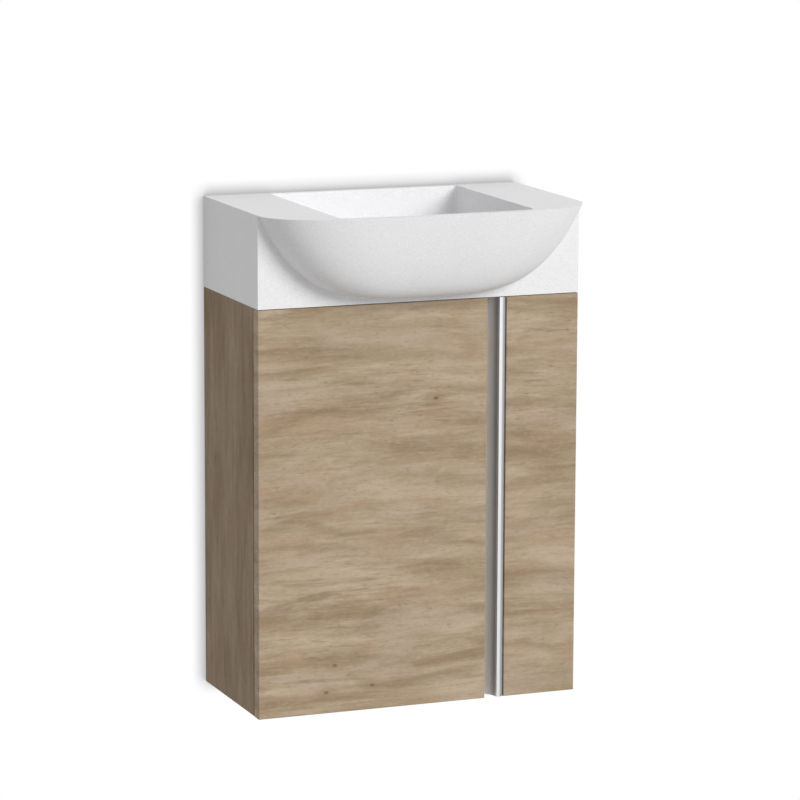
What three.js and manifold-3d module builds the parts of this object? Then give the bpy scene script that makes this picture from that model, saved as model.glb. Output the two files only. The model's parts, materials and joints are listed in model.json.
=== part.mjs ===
// Wall-hung vanity unit for a small washroom: a cast basin on a board cabinet with one hinged door,
// a fixed narrow front and a metal handle channel between the two.
// Millimetres. X runs to the right, Y into the wall, Z up. The wall is the plane y = 0, the unit is
// centred on x = 0, and z = 0 is the line of the basin's wall studs.
import * as THREE from 'three';
import { mergeVertices } from 'three/addons/utils/BufferGeometryUtils.js';
import Module from 'manifold-3d';

const wasm = await Module();
wasm.setup();

// Overall sizes
const unitWidth = 450;
const unitDepth = 217;
const basinHeight = 122;
const cabinetHeight = 543;
const bowlReach = 80;
const studDrop = 60;

// Shared clearances and counts of facets
const seatGap = 0.3;
const overrun = 5;
const roundSides = 32;
const smallSides = 16;
const weldDistance = 1e-4;
const nearZero = 1e-9;
const sharpestCornerShare = 0.2;

// Boards and the gaps round the fronts
const board = 16;
const frontBoard = 18;
const boardEase = 0.6;
const frontGap = 2.5;
const topReveal = 1;
const revealBesideChannel = 0.5;
const fixedFrontWidth = 102.5;
const channelView = 27.5;

const zTop = studDrop;
const zSeat = zTop - basinHeight;
const zBase = zSeat - cabinetHeight;
const xSide = unitWidth / 2;
const xInside = xSide - board;
const yFront = -unitDepth;
const yFrontBack = yFront + frontBoard;
const yCarcass = yFrontBack + frontGap;
const yStile = [yCarcass, yCarcass + board];
const yFrontRail = [yStile[1], yStile[1] + board];
const zFrontTop = zSeat - topReveal;
const xFixedLeft = xSide - fixedFrontWidth;
const xDoorRight = xFixedLeft - channelView;

const bowl = {
  keelRise: 8,
  bury: 8,
  edgeRound: 2.5,
  sideWall: 13,
  rearWall: 14,
  deck: 14,
  arcSteps: 40,
  roundSteps: 3,
  levels: 9,
  levelPower: 2.5,
  wallPower: 4,
};
const trough = {
  sideDeck: 90,
  rearRim: 10,
  frontRim: 15,
  wall: 13,
  recess: 16,
  cornerRadius: 5,
  flare: 1.5,
  draft: 5,
  floorRound: 24,
  floorFall: 4,
  frontSteps: 12,
  cornerSteps: 3,
  roundSteps: 4,
};
const waste = {
  behindRail: 38.5,
  dishRadius: 46,
  recessRadius: 33.5,
  recessDepth: 4,
  holeRadius: 23,
  seatThickness: 10,
  flangeRadius: 32,
  flangeThickness: 2.5,
  tailRadius: 20.9,
  boreRadius: 17,
  tailLength: 80,
  barWidth: 6,
  barHeight: 4,
  barDrop: 26,
  bossRadius: 6,
  capSteps: 6,
  capRadius: 27,
  capRise: 7,
  capLift: 6,
  capThickness: 1.6,
  stemRadius: 3,
  gasketRadius: 29,
  gasketThickness: 3,
  nutRadius: 30,
  nutThickness: 9,
  nutSides: 8,
  fitGap: 0.25,
};
const stud = {
  fromSide: 47,
  radius: 4.8,
  holeRadius: 6.5,
  length: 44,
  washerRadius: 15,
  washerThickness: 2.5,
  nutRadius: 9.8,
  nutThickness: 8,
  nutSides: 6,
  fitGap: 0.2,
};
const channel = {
  wall: 1.8,
  lipWidth: 9.5,
  lipFlatShare: 0.5,
  lipFall: 2.6,
  gripReach: 33,
  recess: 12.5,
  steepness: 19,
  sweep: 30,
  flange: 28,
  notchGap: 2,
  curveSteps: 14,
};
const rail = { backHeight: 90, lowHeight: 70, frontHeight: 60, fromWall: 20, notchWidth: 14 };
const stileWidth = 60;
const shelf = { fromWall: 45, frontGap: 4.5, endGap: 0.5, drop: 271 };
const pin = { radius: 2.5, holeGap: 0.2, inBoard: 8, holeDepth: 9, out: 7, inset: 15, tip: 1 };
const pinRow = { pitch: 32, rows: 3 };
const buffer = { radius: 4, thickness: 2.2, fromSide: 75, fromDoorEdge: 55, round: 0.6 };
const bracket = {
  sheet: 1.8,
  height: 34,
  leg: 24,
  sideLeg: 38,
  fromEnd: 90,
  holeRadius: 2.4,
  holeShare: 0.65,
};
const hanger = {
  cornerSteps: 3,
  crossShare: 0.7,
  drop: 8,
  height: 58,
  depth: 46,
  width: 14,
  fromWall: 38,
  corner: 5,
  hookThickness: 3,
  hookHeight: 12,
  hookDrop: 28,
  hookSink: 28,
  tongueThickness: 3,
  tongueLength: 12,
  screwRadius: 2.2,
  screwHead: 4,
  headThickness: 2.5,
  screwLength: 9,
  screwSpread: 28,
  slotWidth: 1.2,
  slotDepth: 1,
};
const wallPlate = {
  sheet: 2.5,
  width: 40,
  sideGap: 3,
  standOff: 8.5,
  lip: 17,
  joggle: 6,
  height: 34,
  holeRadius: 2.75,
  holeSpread: 20,
  holeRise: 16,
};
const hinge = {
  fromEnd: 90,
  armRise: 7,
  pivotFromCup: 13.5,
  pivotDepth: 10.5,
  boreRadius: 17.5,
  boreDepth: 13.8,
  cupWall: 0.8,
  cupGap: 0.2,
  cupSides: 48,
  cupDepth: 13.5,
  flange: 1,
  flangeRim: 1.2,
  wingLength: 62,
  wingWidth: 22,
  wingShift: 5.5,
  wingCorner: 6,
  wingSteps: 4,
  holeSpread: 48,
  holeShift: 9.5,
  holeRadius: 2.2,
  pinRadius: 1.15,
  pinLength: 14.4,
  barrelRadius: 2,
  runGap: 0.05,
  strip: 2,
  stripWidth: 10,
  neckRadius: 5,
  neckReach: 11,
  neckSteps: 6,
  armReach: 57.5,
  armRib: 1.2,
  armWidth: 12,
  armRibHeight: 6,
  ribBack: 2.5,
  plateSteps: 3,
  plateLine: 37,
  plateLength: 37,
  plateWidth: 16,
  wingThickness: 2,
  wingSpan: 52,
  wingBreadth: 13,
  plateHoleSpread: 32,
  plateHoleRadius: 2.5,
  screwRadius: 2,
  screwHead: 3.6,
  headTopShare: 0.7,
  headThickness: 2.2,
  screwLine: 48.5,
  screwSink: 4,
};

const finish = {
  mineral: new THREE.MeshStandardMaterial({ color: '#f1f1f1', roughness: 0.35, metalness: 0 }),
  oakFront: new THREE.MeshStandardMaterial({ color: '#a69177', roughness: 0.6, metalness: 0 }),
  oakSide: new THREE.MeshStandardMaterial({ color: '#a08b72', roughness: 0.6, metalness: 0 }),
  aluminium: new THREE.MeshStandardMaterial({ color: '#c4c6c8', roughness: 0.35, metalness: 1 }),
  steel: new THREE.MeshStandardMaterial({ color: '#9fa2a5', roughness: 0.4, metalness: 1 }),
  chrome: new THREE.MeshStandardMaterial({ color: '#d8dadc', roughness: 0.12, metalness: 1 }),
  plastic: new THREE.MeshStandardMaterial({ color: '#d9d9d6', roughness: 0.5, metalness: 0 }),
  rubber: new THREE.MeshStandardMaterial({ color: '#2b2b2b', roughness: 0.8, metalness: 0 }),
};

// Solids: a three.js geometry goes in closed, and comes back as one that can be cut and joined
function solid(geometry) {
  geometry.deleteAttribute('normal');
  geometry.deleteAttribute('uv');
  const merged = mergeVertices(geometry, weldDistance);
  const corners = merged.getAttribute('position').array;
  const faces = [];
  const index = merged.getIndex().array;
  let volume = 0;
  for (let i = 0; i < index.length; i += 3) {
    const [a, b, c] = [index[i], index[i + 1], index[i + 2]];
    if (a === b || b === c || c === a) continue;
    faces.push([a, b, c]);
    const [p, q, r] = [a, b, c].map((k) => new THREE.Vector3().fromArray(corners, 3 * k));
    volume += p.dot(q.cross(r));
  }
  const turned = volume < 0 ? faces.map(([a, b, c]) => [a, c, b]) : faces;
  return new wasm.Manifold(
    new wasm.Mesh({
      numProp: 3,
      vertProperties: new Float32Array(corners),
      triVerts: new Uint32Array(turned.flat()),
    })
  );
}

function meshGeometry(body) {
  const mesh = body.getMesh();
  const geometry = new THREE.BufferGeometry();
  geometry.setAttribute('position', new THREE.BufferAttribute(mesh.vertProperties, 3));
  geometry.setIndex(new THREE.BufferAttribute(mesh.triVerts, 1));
  geometry.computeVertexNormals();
  return geometry;
}

// A box from its lowest and highest place along each axis
function block([x0, x1], [y0, y1], [z0, z1]) {
  const geometry = new THREE.BoxGeometry(x1 - x0, y1 - y0, z1 - z0);
  geometry.translate((x0 + x1) / 2, (y0 + y1) / 2, (z0 + z1) / 2);
  return solid(geometry);
}

const alongAxis = {
  x: [new THREE.Vector3(0, 1, 0), new THREE.Vector3(0, 0, 1), new THREE.Vector3(1, 0, 0)],
  y: [new THREE.Vector3(0, 0, 1), new THREE.Vector3(1, 0, 0), new THREE.Vector3(0, 1, 0)],
  z: [new THREE.Vector3(1, 0, 0), new THREE.Vector3(0, 1, 0), new THREE.Vector3(0, 0, 1)],
};

// An outline pushed along an axis: along x it lies in (y, z), along y in (z, x), along z in (x, y)
function prism(points, axis, from, to) {
  const shape = new THREE.Shape(points.map(([u, v]) => new THREE.Vector2(u, v)));
  const geometry = new THREE.ExtrudeGeometry(shape, { depth: to - from, bevelEnabled: false });
  geometry.translate(0, 0, from);
  geometry.applyMatrix4(new THREE.Matrix4().makeBasis(...alongAxis[axis]));
  return solid(geometry);
}

// A board with eased edges round its two faces; axis is the one along its thickness
function easedBoard(axis, [x0, x1], [y0, y1], [z0, z1]) {
  const spans = { x: [x0, x1], y: [y0, y1], z: [z0, z1] };
  const [across, up] = { x: ['y', 'z'], y: ['z', 'x'], z: ['x', 'y'] }[axis];
  const [u0, u1] = spans[across];
  const [v0, v1] = spans[up];
  const [w0, w1] = spans[axis];
  const shape = new THREE.Shape([
    new THREE.Vector2(u0 + boardEase, v0 + boardEase),
    new THREE.Vector2(u1 - boardEase, v0 + boardEase),
    new THREE.Vector2(u1 - boardEase, v1 - boardEase),
    new THREE.Vector2(u0 + boardEase, v1 - boardEase),
  ]);
  const geometry = new THREE.ExtrudeGeometry(shape, {
    depth: w1 - w0 - 2 * boardEase,
    bevelThickness: boardEase,
    bevelSize: boardEase,
    bevelSegments: 1,
  });
  geometry.translate(0, 0, w0 + boardEase);
  geometry.applyMatrix4(new THREE.Matrix4().makeBasis(...alongAxis[axis]));
  return solid(geometry);
}

// A turned piece: [radius, height] points round an axis through the given place
function turned(profile, sides, axis, place) {
  const points = profile.map(([r, h]) => new THREE.Vector2(r, h));
  const geometry = new THREE.LatheGeometry(points, sides);
  geometry.rotateX(Math.PI / 2);
  geometry.applyMatrix4(new THREE.Matrix4().makeBasis(...alongAxis[axis]));
  geometry.translate(...place);
  return solid(geometry);
}

function rod(radius, from, to, sides, axis, place) {
  return turned([[0, from], [radius, from], [radius, to], [0, to]], sides, axis, place);
}

// A ring between two radii, its section closed on itself
function ring(inner, outer, from, to, sides, axis, place) {
  const section = [[inner, from], [outer, from], [outer, to], [inner, to], [inner, from]];
  return turned(section, sides, axis, place);
}

// A skin through rings of the same number of points, closed by a fan at each end
function loft(rings) {
  const count = rings[0].length;
  const corners = rings.flat();
  const index = [];
  for (let level = 0; level + 1 < rings.length; level++) {
    for (let i = 0; i < count; i++) {
      const a = level * count + i;
      const b = level * count + ((i + 1) % count);
      index.push(a, b, b + count, a, b + count, a + count);
    }
  }
  for (const [level, flip] of [[0, true], [rings.length - 1, false]]) {
    const flat = rings[level].map(([x, y]) => new THREE.Vector2(x, y));
    for (const [a, b, c] of THREE.ShapeUtils.triangulateShape(flat, [])) {
      const face = [a, b, c].map((k) => level * count + k);
      index.push(...(flip ? face.reverse() : face));
    }
  }
  const geometry = new THREE.BufferGeometry();
  geometry.setAttribute('position', new THREE.Float32BufferAttribute(corners.flat(), 3));
  geometry.setIndex(index);
  return solid(geometry);
}

// Moves each side of a convex or gently curved outline inwards, with the corners kept sharp
function inset(points, amount) {
  const count = points.length;
  return points.map(([x, y], i) => {
    const [px, py] = points[(i + count - 1) % count];
    const [nx, ny] = points[(i + 1) % count];
    const before = new THREE.Vector2(x - px, y - py).normalize();
    const after = new THREE.Vector2(nx - x, ny - y).normalize();
    const bisector = new THREE.Vector2(-before.y - after.y, before.x + after.x).normalize();
    const lean = bisector.dot(new THREE.Vector2(-before.y, before.x));
    const reach = amount / Math.max(lean, sharpestCornerShare);
    return [x + bisector.x * reach, y + bisector.y * reach];
  });
}

// A strip of even thickness along a path, as one closed outline
function strip(path, thickness) {
  const side = (sign) =>
    path.map(([x, y], i) => {
      const [px, py] = path[Math.max(i - 1, 0)];
      const [nx, ny] = path[Math.min(i + 1, path.length - 1)];
      const before = new THREE.Vector2(x - px, y - py).normalize();
      const after = new THREE.Vector2(nx - x, ny - y).normalize();
      if (i === 0) before.copy(after);
      if (i === path.length - 1) after.copy(before);
      const normal = new THREE.Vector2(-before.y - after.y, before.x + after.x).normalize();
      const reach = thickness / 2 / normal.dot(new THREE.Vector2(-before.y, before.x));
      return [x + sign * normal.x * reach, y + sign * normal.y * reach];
    });
  return [...side(1), ...side(-1).reverse()];
}

function quarter(cx, cy, radius, from, to, steps) {
  return Array.from({ length: steps + 1 }, (_, i) => {
    const angle = from + ((to - from) * i) / steps;
    return [cx + radius * Math.cos(angle), cy + radius * Math.sin(angle)];
  });
}

function roundedRectangle([u0, u1], [v0, v1], radius, steps) {
  const turn = Math.PI / 2;
  return [
    ...quarter(u1 - radius, v0 + radius, radius, -turn, 0, steps),
    ...quarter(u1 - radius, v1 - radius, radius, 0, turn, steps),
    ...quarter(u0 + radius, v1 - radius, radius, turn, 2 * turn, steps),
    ...quarter(u0 + radius, v0 + radius, radius, 2 * turn, 3 * turn, steps),
  ];
}

const unit = new THREE.Group();

function add(name, body, material) {
  const mesh = new THREE.Mesh(meshGeometry(body), material);
  mesh.name = name;
  unit.add(mesh);
}

const bothSides = [['left', -1], ['right', 1]];

// The bowl's plan: a flat-fronted oval, |x / half width|^4 + (reach share)^2 = 1, from one end of
// the block's front to the other. A share below 1 draws the smaller plan lower down.
function swellPoint(angle, share) {
  const c4 = Math.cos(angle) ** 4;
  const s2 = Math.sin(angle) ** 2;
  const radius = c4 < nearZero ? 1 : Math.sqrt((Math.sqrt(s2 * s2 + 4 * c4) - s2) / (2 * c4));
  const along = radius * Math.cos(angle);
  const out = radius * Math.sin(angle);
  return [xSide * share * along, yFront - bowlReach * share * out];
}

function swellArc(share) {
  return Array.from({ length: bowl.arcSteps + 1 }, (_, i) =>
    swellPoint((Math.PI * i) / bowl.arcSteps, share)
  ).reverse();
}

// The bowl swells with the fourth power of its share: flat along the keel, steep below the rim
const zKeel = zSeat + bowl.keelRise;

function shareAt(z) {
  const rise = Math.min(Math.max((z - zKeel) / (zTop - zKeel), 0), 1);
  return rise ** (1 / bowl.wallPower);
}

// Distance that the bowl stands out in front of the block at a place along the width and a height
function swellAt(x, z) {
  const share = shareAt(z);
  const along = Math.abs(x) / (xSide * share);
  return bowlReach * share * Math.sqrt(Math.max(1 - along ** 4, 0));
}

// Plan of the trough at a height, from front left round to rear left, its front following the bowl
function troughPlan(inwards, z) {
  const half = xSide - trough.sideDeck - inwards;
  const rear = -trough.rearRim - inwards;
  const frontAt = (x) => yFront - swellAt(x, z) + trough.frontRim + inwards;
  const radius = trough.cornerRadius;
  const turn = Math.PI / 2;
  const front = Array.from({ length: trough.frontSteps + 1 }, (_, i) => {
    const x = (half - radius) * (-1 + (2 * i) / trough.frontSteps);
    return [x, frontAt(x)];
  });
  const low = frontAt(half - radius) + radius;
  return [
    ...quarter(-half + radius, low, radius, 2 * turn, 3 * turn, trough.cornerSteps).slice(0, -1),
    ...front,
    ...quarter(half - radius, low, radius, -turn, 0, trough.cornerSteps).slice(1),
    ...quarter(half - radius, rear - radius, radius, 0, turn, trough.cornerSteps),
    ...quarter(-half + radius, rear - radius, radius, turn, 2 * turn, trough.cornerSteps),
  ];
}

const zUnderside = zSeat + trough.recess;
const zWasteSeat = zUnderside + waste.seatThickness;
const zDish = zWasteSeat + waste.recessDepth;
const zFloor = zDish + trough.floorFall;
const yWaste = yFrontRail[1] + waste.behindRail;
const wastePlace = [0, yWaste, 0];
const xStud = xSide - stud.fromSide;

function troughHollow() {
  const at = (inwards, z) => troughPlan(inwards, z).map(([x, y]) => [x, y, z]);
  const rings = [
    at(-trough.flare, zTop + overrun),
    at(-trough.flare, zTop),
    at(0, zTop - trough.flare),
  ];
  for (let i = 0; i <= trough.roundSteps; i++) {
    const angle = (Math.PI / 2) * (i / trough.roundSteps);
    const inwards = trough.draft + trough.floorRound * (1 - Math.cos(angle));
    rings.push(at(inwards, zFloor + trough.floorRound * (1 - Math.sin(angle))));
  }
  const dish = rings.at(-1).map(([x, y]) => {
    const away = Math.atan2(y - yWaste, x);
    const radius = waste.dishRadius;
    return [radius * Math.cos(away), yWaste + radius * Math.sin(away), zDish];
  });
  return loft([...rings, dish].reverse())
    .add(rod(waste.recessRadius, zWasteSeat, zDish + overrun, roundSides, 'z', wastePlace))
    .add(rod(waste.holeRadius, zUnderside - overrun, zDish, roundSides, 'z', wastePlace));
}

// Basin: block and bowl in one casting, its top edge rounded, hollow under the deck
function basin() {
  const rings = [];
  for (let level = 1; level <= bowl.levels; level++) {
    const rise = (level / bowl.levels) ** bowl.levelPower;
    const z = zKeel + (zTop - zKeel) * rise;
    const share = shareAt(z);
    const back = yFront + bowl.bury;
    const plan = [...swellArc(share), [xSide * share, back], [-xSide * share, back]];
    rings.push(plan.map(([x, y]) => [x, y, z]));
  }
  const squareBlock = block([-xSide, xSide], [yFront, 0], [zSeat, zTop]);
  const whole = [...swellArc(1), [xSide, overrun], [-xSide, overrun]];
  const envelope = [whole.map(([x, y]) => [x, y, zSeat - overrun])];
  for (let i = 0; i <= bowl.roundSteps; i++) {
    const angle = (Math.PI / 2) * (i / bowl.roundSteps);
    const inwards = bowl.edgeRound * (1 - Math.cos(angle));
    const z = zTop - bowl.edgeRound * (1 - Math.sin(angle));
    envelope.push(inset(whole, inwards).map(([x, y]) => [x, y, z]));
  }
  const underside = [zSeat - overrun, zTop - bowl.deck];
  const xPocket = xSide - bowl.sideWall;
  const pocket = block([-xPocket, xPocket], [yFront + bowl.sideWall, -bowl.rearWall], underside);
  const troughBody = prism(troughPlan(-trough.wall, zTop), 'z', zUnderside, zTop);
  let body = squareBlock.add(loft(rings)).intersect(loft(envelope));
  body = body.subtract(pocket.subtract(troughBody)).subtract(troughHollow());
  for (const [, side] of bothSides) {
    const place = [side * xStud, 0, 0];
    const hole = rod(stud.holeRadius, -bowl.rearWall - overrun, overrun, smallSides, 'y', place);
    body = body.subtract(hole);
  }
  return body;
}
add('basin', basin(), finish.mineral);

// Wall fixing of the basin: stud, washer and nut in each pocket
for (const [name, side] of bothSides) {
  const place = [side * xStud, 0, 0];
  const yWasher = -bowl.rearWall - seatGap;
  const yNut = yWasher - stud.washerThickness - seatGap;
  const bore = stud.radius + stud.fitGap;
  const washer = [yWasher - stud.washerThickness, yWasher];
  const nut = [yNut - stud.nutThickness, yNut];
  add(`stud_${name}`, rod(stud.radius, -stud.length, 0, smallSides, 'y', place), finish.steel);
  add(
    `washer_${name}`,
    ring(bore, stud.washerRadius, ...washer, roundSides, 'y', place),
    finish.steel
  );
  const hexagon = rod(stud.nutRadius, ...nut, stud.nutSides, 'y', place);
  const hole = rod(bore, nut[0] - overrun, nut[1] + overrun, smallSides, 'y', place);
  add(`nut_${name}`, hexagon.subtract(hole), finish.steel);
}

// Waste: a flanged body down through the basin's floor, clamped from below, with a raised cap
function wasteBody() {
  const top = zWasteSeat + seatGap + waste.flangeThickness;
  const flangeUnder = zWasteSeat + seatGap;
  const foot = top - waste.tailLength;
  const shell = turned(
    [
      [waste.boreRadius, foot],
      [waste.tailRadius, foot],
      [waste.tailRadius, flangeUnder],
      [waste.flangeRadius, flangeUnder],
      [waste.flangeRadius, top],
      [waste.tailRadius, top - waste.flangeThickness / 2],
      [waste.boreRadius, flangeUnder - waste.flangeThickness],
      [waste.boreRadius, foot],
    ],
    roundSides,
    'z',
    wastePlace
  );
  const zBar = top - waste.barDrop;
  const reach = waste.boreRadius + waste.fitGap;
  const half = waste.barWidth / 2;
  const height = [zBar, zBar + waste.barHeight];
  const bar = block([-reach, reach], [yWaste - half, yWaste + half], height);
  const cross = block([-half, half], [yWaste - reach, yWaste + reach], height);
  const boss = rod(waste.bossRadius, ...height, smallSides, 'z', wastePlace);
  const hole = waste.stemRadius + waste.fitGap;
  const bore = rod(hole, zBar - overrun, zBar + overrun, smallSides, 'z', wastePlace);
  return shell.add(bar).add(cross).add(boss).subtract(bore);
}
add('waste_body', wasteBody(), finish.chrome);

function wasteCap() {
  const rimHeight = zWasteSeat + waste.flangeThickness + waste.capLift;
  const stemFoot = zWasteSeat - waste.barDrop;
  const dome = (radius, rise, base) =>
    Array.from({ length: waste.capSteps + 1 }, (_, i) => {
      const share = i / waste.capSteps;
      return [radius * (1 - share), base + rise * Math.sin((share * Math.PI) / 2)];
    });
  const outer = dome(waste.capRadius, waste.capRise, rimHeight);
  const underRim = rimHeight - waste.capThickness;
  const inner = dome(waste.capRadius - waste.capThickness, waste.capRise, underRim);
  const under = inner.slice(0, -1).reverse().filter(([radius]) => radius > waste.stemRadius);
  const join = under[0][1];
  return turned(
    [[0, stemFoot], [waste.stemRadius, stemFoot], [waste.stemRadius, join], ...under, ...outer],
    roundSides,
    'z',
    wastePlace
  );
}
add('waste_cap', wasteCap(), finish.chrome);

const zGasket = zUnderside - seatGap;
const zWasteNut = zGasket - waste.gasketThickness - seatGap;
const aroundTail = waste.tailRadius + waste.fitGap;
add(
  'waste_gasket',
  ring(
    aroundTail,
    waste.gasketRadius,
    zGasket - waste.gasketThickness,
    zGasket,
    roundSides,
    'z',
    wastePlace
  ),
  finish.rubber
);
function wasteNut() {
  const span = [zWasteNut - waste.nutThickness, zWasteNut];
  const outside = rod(waste.nutRadius, ...span, waste.nutSides, 'z', wastePlace);
  const hole = rod(aroundTail, span[0] - overrun, span[1] + overrun, roundSides, 'z', wastePlace);
  return outside.subtract(hole);
}
add('waste_nut', wasteNut(), finish.plastic);

// Carcass boards. Both sides are drilled for the shelf pins.
const shelfTop = zSeat - shelf.drop;
const zPin = shelfTop - board - seatGap - pin.radius;
const shelfY = [yFrontRail[1] + shelf.frontGap, -shelf.fromWall];
const pinPlaces = [shelfY[1] - pin.inset, shelfY[0] + pin.inset];

for (const [name, side] of bothSides) {
  const faces = [side * xSide, side * xInside].sort((a, b) => a - b);
  let panel = easedBoard('x', faces, [yCarcass, 0], [zBase, zSeat]);
  const mouth = side * (xInside - overrun);
  const end = side * (xInside + pin.holeDepth);
  const hole = [mouth, end].sort((a, b) => a - b);
  for (const y of pinPlaces) {
    for (let row = 0; row < pinRow.rows; row++) {
      const z = zPin + pinRow.pitch * (row - (pinRow.rows - 1) / 2);
      panel = panel.subtract(rod(pin.radius + pin.holeGap, ...hole, smallSides, 'x', [0, y, z]));
    }
  }
  add(`side_panel_${name}`, panel, finish.oakSide);
}

const channelLeft = xDoorRight - channel.gripReach;
const lipLeft = xFixedLeft - revealBesideChannel - channel.lipWidth;
const ySill = yCarcass + channel.recess;
const notchX = [channelLeft - channel.notchGap, lipLeft];
const inside = [-xInside, xInside];

add(
  'bottom_panel',
  block(inside, [yCarcass, 0], [zBase, zBase + board]).subtract(
    block(notchX, [yCarcass - overrun, ySill + channel.notchGap], [zBase - overrun, zSeat])
  ),
  finish.oakSide
);

const yRail = [-rail.fromWall - board, -rail.fromWall];
function backRailUpper() {
  let body = block(inside, yRail, [zSeat - rail.backHeight, zSeat]);
  for (const [, side] of bothSides) {
    const ends = [side * (xInside + overrun), side * (xInside - rail.notchWidth)];
    const notch = [zSeat - hanger.drop - hanger.height, zSeat + overrun];
    const depth = [yRail[0] - overrun, 0];
    body = body.subtract(block(ends.sort((a, b) => a - b), depth, notch));
  }
  return body;
}
add('back_rail_upper', backRailUpper(), finish.oakSide);
const lowRail = [zBase + board, zBase + board + rail.lowHeight];
add('back_rail_lower', block(inside, yRail, lowRail), finish.oakSide);

const stileX = [lipLeft, lipLeft + stileWidth];
add('stile', block(stileX, yStile, [zBase + board, zSeat]), finish.oakSide);
add('front_rail', block(inside, yFrontRail, [zSeat - rail.frontHeight, zSeat]), finish.oakSide);

const shelfX = [-xInside + shelf.endGap, xInside - shelf.endGap];
add('shelf', easedBoard('z', shelfX, shelfY, [shelfTop - board, shelfTop]), finish.oakSide);

for (const [name, side] of bothSides) {
  pinPlaces.forEach((y, i) => {
    const end = xInside - pin.out;
    const profile = [
      [0, end],
      [pin.radius - pin.tip, end],
      [pin.radius, end + pin.tip],
      [pin.radius, xInside + pin.inBoard],
      [0, xInside + pin.inBoard],
    ].map(([radius, x]) => [radius, side * x]);
    const depth = i === 0 ? 'rear' : 'front';
    add(`shelf_pin_${name}_${depth}`, turned(profile, smallSides, 'x', [0, y, zPin]), finish.steel);
  });
}

// Handle channel: one extruded profile. A scoop runs back behind the door's edge, a lip stands at
// the fronts' plane, and a flange behind the fixed front carries it on the stile.
function handleChannel() {
  const half = channel.wall / 2;
  const start = new THREE.Vector2(channelLeft, ySill - half);
  const end = new THREE.Vector2(lipLeft + half, yFront + half);
  const curve = new THREE.CubicBezierCurve(
    start,
    new THREE.Vector2(start.x + channel.sweep, start.y),
    new THREE.Vector2(end.x, end.y + channel.steepness),
    end
  );
  const scoop = curve.getPoints(channel.curveSteps).map((p) => [p.x, p.y]);
  const right = lipLeft + channel.lipWidth - half;
  const crest = lipLeft + channel.lipWidth * channel.lipFlatShare;
  const lip = [
    [crest, yFront + half],
    [right, yFront + half + channel.lipFall],
    [right, yCarcass - half],
  ];
  const z = [zBase, zFrontTop];
  const profile = prism(strip([...scoop, ...lip], channel.wall), 'z', ...z);
  const scoopAtWeb = lipLeft - channel.wall;
  const flangeEnd = lipLeft + channel.lipWidth + channel.flange;
  const web = block([scoopAtWeb, flangeEnd], [yCarcass - channel.wall, yCarcass], z);
  const clear = block([scoopAtWeb - overrun, scoopAtWeb], [yCarcass - channel.wall, yCarcass], z);
  return profile.add(web.subtract(clear));
}
add('handle_channel', handleChannel(), finish.aluminium);

const frontZ = [zBase, zFrontTop];
add(
  'fixed_front',
  easedBoard('y', [xFixedLeft, xSide], [yFront, yFrontBack], frontZ),
  finish.oakFront
);

// Angle brackets between the fixed front and the right side panel
for (const [name, z] of [
  ['upper', zSeat - bracket.fromEnd],
  ['lower', zBase + board + bracket.fromEnd],
]) {
  const path = [
    [xInside - bracket.leg, yFrontBack + seatGap + bracket.sheet / 2],
    [xInside - bracket.sheet / 2, yFrontBack + seatGap + bracket.sheet / 2],
    [xInside - bracket.sheet / 2, yFrontBack + bracket.sideLeg],
  ];
  const height = [z - bracket.height / 2, z + bracket.height / 2];
  let body = prism(strip(path, bracket.sheet), 'z', ...height);
  const yHole = yFrontBack + bracket.sideLeg * bracket.holeShare;
  for (const dz of [-bracket.height / 4, bracket.height / 4]) {
    const hole = [xInside - overrun, xInside + overrun];
    body = body.subtract(rod(bracket.holeRadius, ...hole, smallSides, 'x', [0, yHole, z + dz]));
    const through = [yFrontBack - overrun, yFrontBack + overrun];
    const place = [xInside - bracket.leg * bracket.holeShare, 0, z + dz];
    body = body.subtract(rod(bracket.holeRadius, ...through, smallSides, 'y', place));
  }
  add(`front_bracket_${name}`, body, finish.steel);
}

// Lines of the hinges, worked out from the left panel's inner face: arm, pivot pin, then cup
const xArm = -xInside + hinge.armRise;
const xPlateFace = xArm - hinge.strip / 2 - seatGap;
const xPivot = xArm - hinge.neckReach - hinge.neckRadius;
const yPivot = yFrontBack - hinge.pivotDepth;
const xBore = xPivot + hinge.pivotFromCup;

// Door, bored from behind for the two hinge cups
const hingeRows = [
  ['upper', zFrontTop - hinge.fromEnd],
  ['lower', zBase + hinge.fromEnd],
];
function door() {
  let body = easedBoard('y', [-xSide, xDoorRight], [yFront, yFrontBack], frontZ);
  for (const [, z] of hingeRows) {
    const span = [yFrontBack - hinge.boreDepth, yFrontBack + overrun];
    body = body.subtract(rod(hinge.boreRadius, ...span, hinge.cupSides, 'y', [xBore, 0, z]));
  }
  return body;
}
add('door', door(), finish.oakFront);

for (const [name, x] of [
  ['left', -xSide + buffer.fromSide],
  ['right', xDoorRight - buffer.fromDoorEdge],
]) {
  const profile = [
    [0, yCarcass],
    [buffer.radius, yCarcass],
    [buffer.radius, yCarcass - buffer.thickness + buffer.round],
    [buffer.radius - buffer.round, yCarcass - buffer.thickness],
    [0, yCarcass - buffer.thickness],
  ];
  const place = [x, 0, zBase + board / 2];
  add(`buffer_${name}`, turned(profile, smallSides, 'y', place), finish.plastic);
}

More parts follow.
